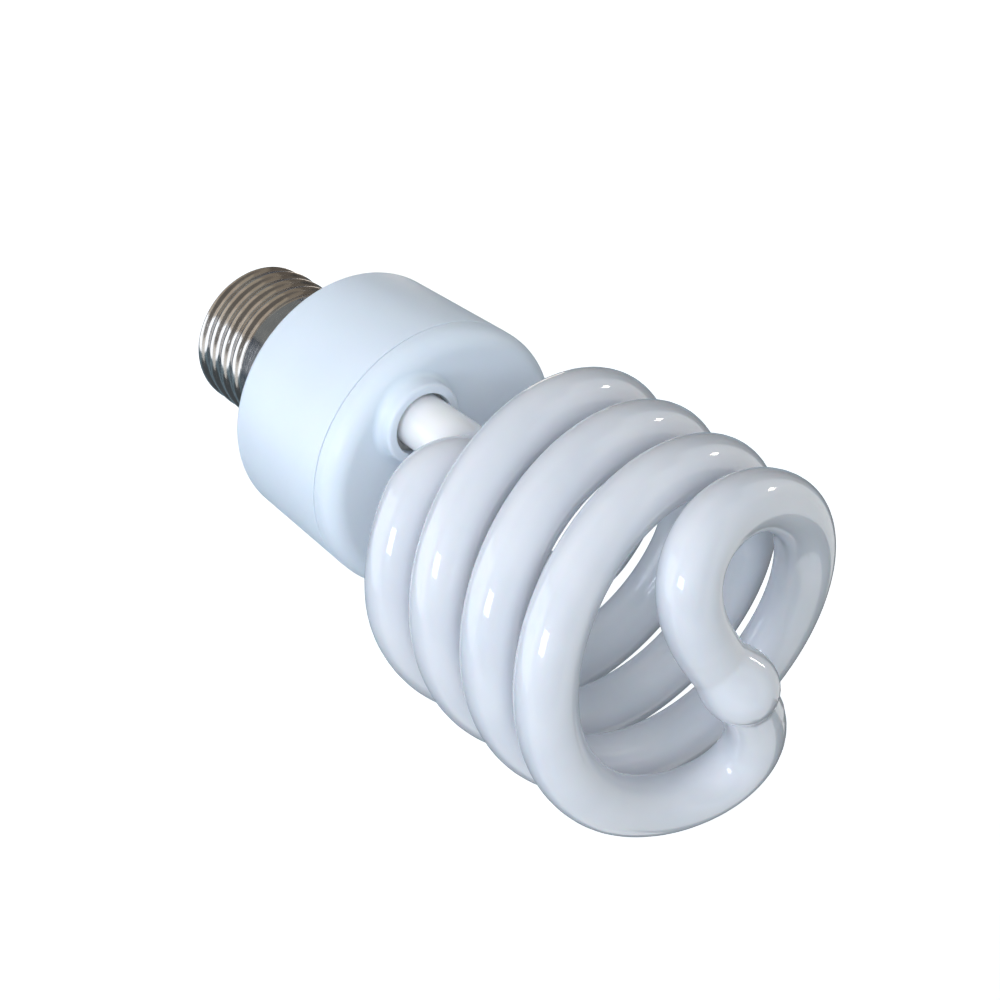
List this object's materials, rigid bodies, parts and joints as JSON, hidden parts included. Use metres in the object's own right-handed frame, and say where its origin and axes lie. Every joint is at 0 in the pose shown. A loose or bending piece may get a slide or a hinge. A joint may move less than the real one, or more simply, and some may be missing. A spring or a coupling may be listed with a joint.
{
  "type": "spiral energy saving bulb",
  "caption": "Compact fluorescent lamp with a coiled glass tube on a white ballast housing and a medium screw cap.",
  "frame": {"origin": "centre of the centre contact's end face, the end of the lamp that enters the socket", "axes": "+Z along the lamp's axis from the screw cap to the top of the glass; +X from the cap's axis towards the tube's own axis; -Y towards the leg that the picture shows in front"},
  "size_m": [0.0598, 0.0594, 0.1394],
  "materials": {
    "plated_shell": "polished",
    "base_glass": "gloss",
    "contact_metal": "satin",
    "housing_plastic": "semi-gloss",
    "coated_glass": "gloss",
    "cement": "matte",
    "board": "satin",
    "tinned_wire": "satin",
    "capacitor_sleeve": "gloss",
    "ferrite": "matte",
    "bobbin_plastic": "matte",
    "winding_wire": "gloss",
    "component_black": "matte",
    "film_capacitor": "gloss",
    "resistor_coat": "satin"
  },
  "bodies": {
    "root": {"screw_shell": "plated_shell", "base_insulator": "base_glass", "centre_contact": "contact_metal", "housing_body": "housing_plastic", "housing_cover": "housing_plastic", "spiral_tube": "coated_glass", "tube_cement_near": "cement", "tube_cement_far": "cement", "circuit_board": "board", "wrap_pin_1": "tinned_wire", "wrap_pin_2": "tinned_wire", "wrap_pin_3": "tinned_wire", "wrap_pin_4": "tinned_wire", "main_capacitor": "capacitor_sleeve", "choke_core": "ferrite", "choke_bobbin": "bobbin_plastic", "choke_winding": "winding_wire", "drive_ring": "ferrite", "drive_winding_1": "winding_wire", "drive_winding_2": "winding_wire", "drive_winding_3": "winding_wire", "transistor_1": "component_black", "transistor_2": "component_black", "resonance_capacitor": "film_capacitor", "coupling_capacitor": "film_capacitor", "filter_coil": "ferrite", "diode_1": "component_black", "diode_2": "component_black", "diode_3": "component_black", "diode_4": "component_black", "fuse_resistor": "resistor_coat", "resistor_1": "resistor_coat", "resistor_2": "resistor_coat", "contact_lead": "tinned_wire", "shell_lead": "tinned_wire", "tube_lead_near_1": "tinned_wire", "tube_lead_near_2": "tinned_wire", "tube_lead_far_1": "tinned_wire", "tube_lead_far_2": "tinned_wire"}
  },
  "joints": []
}
